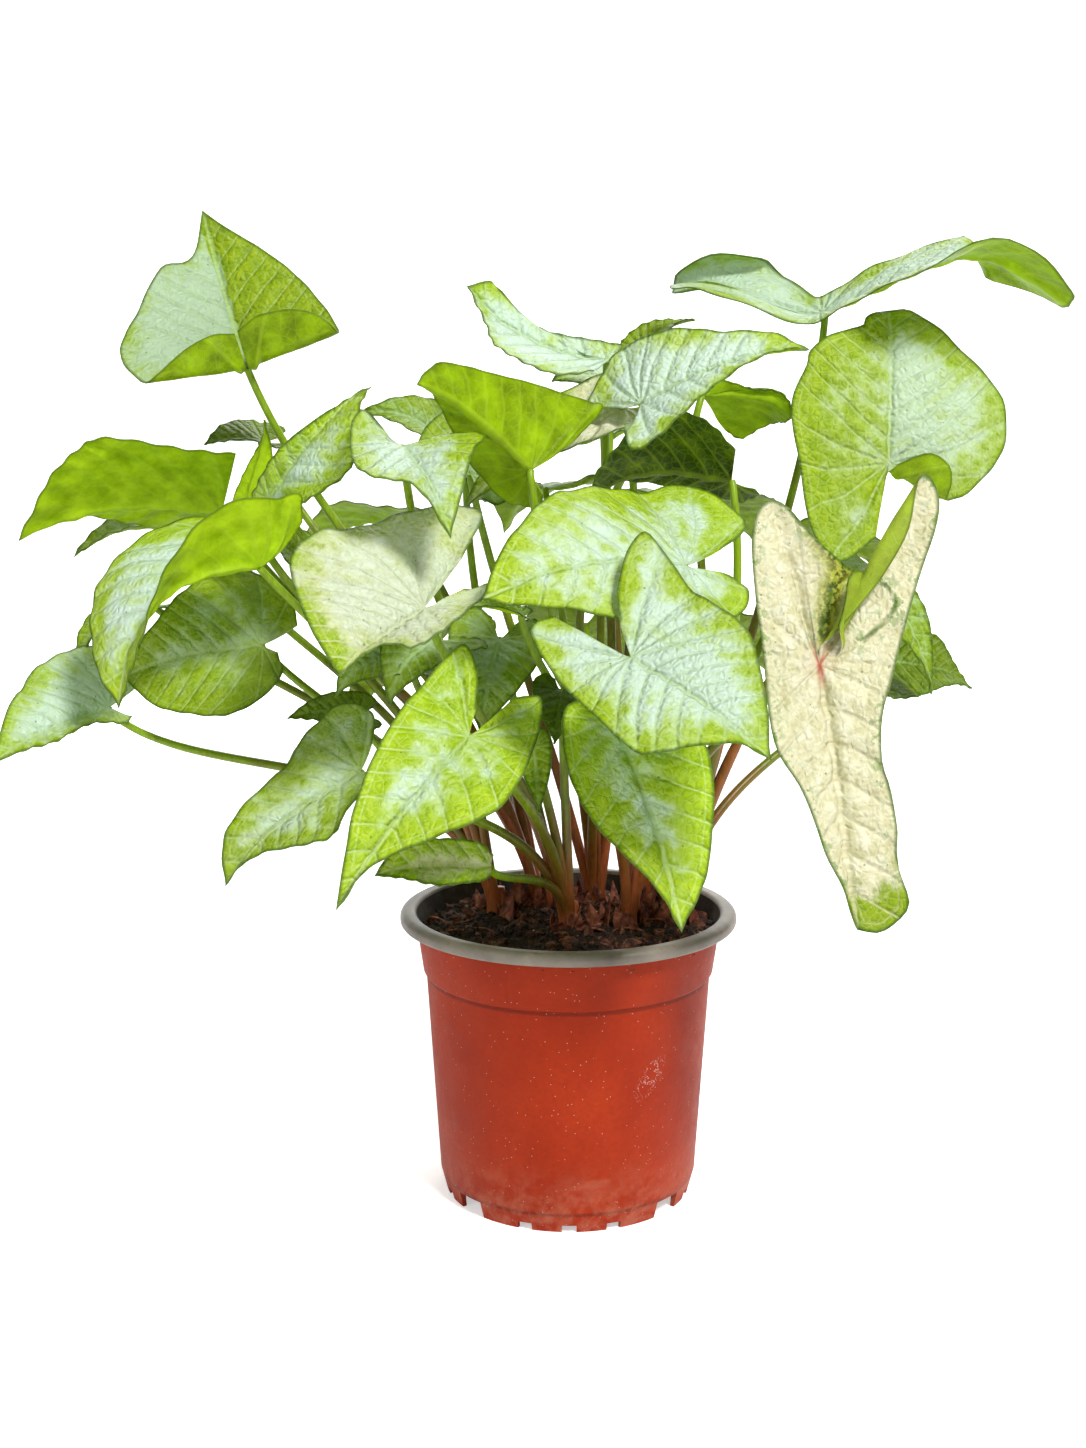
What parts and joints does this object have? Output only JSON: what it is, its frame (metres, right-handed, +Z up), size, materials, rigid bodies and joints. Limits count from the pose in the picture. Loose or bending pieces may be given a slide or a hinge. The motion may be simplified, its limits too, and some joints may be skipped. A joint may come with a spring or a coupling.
{
  "type": "arrowhead plant in a nursery pot",
  "caption": "Potted arrowhead plant: spreading arrow-shaped leaves on slender stalks, rising from potting mix in a tapered round plastic nursery pot with a rolled lip.",
  "frame": {"origin": "centre of the pot's flat base pad, at the height the pot stands on", "axes": "+Z up along the pot's axis, -Y towards the plant's front, +X to the viewer's right"},
  "size_m": [0.3592, 0.2767, 0.3476],
  "materials": {
    "pot_plastic": "terracotta-coloured thermoformed polypropylene, satin, dusty, with a grey lip",
    "potting_mix": "dark crumbly peat mix with bark chips and dry sheaths, matt",
    "leaf_stalk": "smooth fleshy leaf stalk, red-brown at the foot and olive green above",
    "leaf_blade": "thin waxy leaf, silver and cream on green, with pale veins"
  },
  "bodies": {
    "root": {"blade_bright_left": "leaf_blade", "blade_centre_big": "leaf_blade", "blade_centre_funnel": "leaf_blade", "blade_centre_left": "leaf_blade", "blade_cream_behind": "leaf_blade", "blade_cream_right": "leaf_blade", "blade_curled_bit": "leaf_blade", "blade_dark_centre": "leaf_blade", "blade_front_left": "leaf_blade", "blade_front_mid": "leaf_blade", "blade_front_right": "leaf_blade", "blade_green_back": "leaf_blade", "blade_grey_back": "leaf_blade", "blade_inner_dark": "leaf_blade", "blade_inner_left": "leaf_blade", "blade_inner_mid": "leaf_blade", "blade_inner_narrow": "leaf_blade", "blade_left_back": "leaf_blade", "blade_left_behind": "leaf_blade", "blade_left_disc": "leaf_blade", "blade_left_droop": "leaf_blade", "blade_left_far": "leaf_blade", "blade_left_fold": "leaf_blade", "blade_left_gap": "leaf_blade", "blade_left_low": "leaf_blade", "blade_left_sliver": "leaf_blade", "blade_left_strip": "leaf_blade", "blade_left_tip": "leaf_blade", "blade_left_upper": "leaf_blade", "blade_low_olive": "leaf_blade", "blade_olive_right": "leaf_blade", "blade_pale_behind": "leaf_blade", "blade_pale_left": "leaf_blade", "blade_rear_far_right": "leaf_blade", "blade_rear_left": "leaf_blade", "blade_rear_low": "leaf_blade", "blade_rear_low_left": "leaf_blade", "blade_rear_low_right": "leaf_blade", "blade_rear_mid": "leaf_blade", "blade_rear_right": "leaf_blade", "blade_rear_top": "leaf_blade", "blade_right_dark": "leaf_blade", "blade_right_round": "leaf_blade", "blade_right_silver": "leaf_blade", "blade_top_curl": "leaf_blade", "blade_top_left": "leaf_blade", "blade_top_right": "leaf_blade", "blade_upper_mid": "leaf_blade", "blade_upper_tip": "leaf_blade", "pot": "pot_plastic", "shoot_back": "leaf_stalk", "shoot_far_left": "leaf_stalk", "shoot_front": "leaf_stalk", "shoot_front_right": "leaf_stalk", "shoot_left": "leaf_stalk", "shoot_middle": "leaf_stalk", "shoot_right": "leaf_stalk", "soil": "potting_mix"}
  },
  "joints": []
}
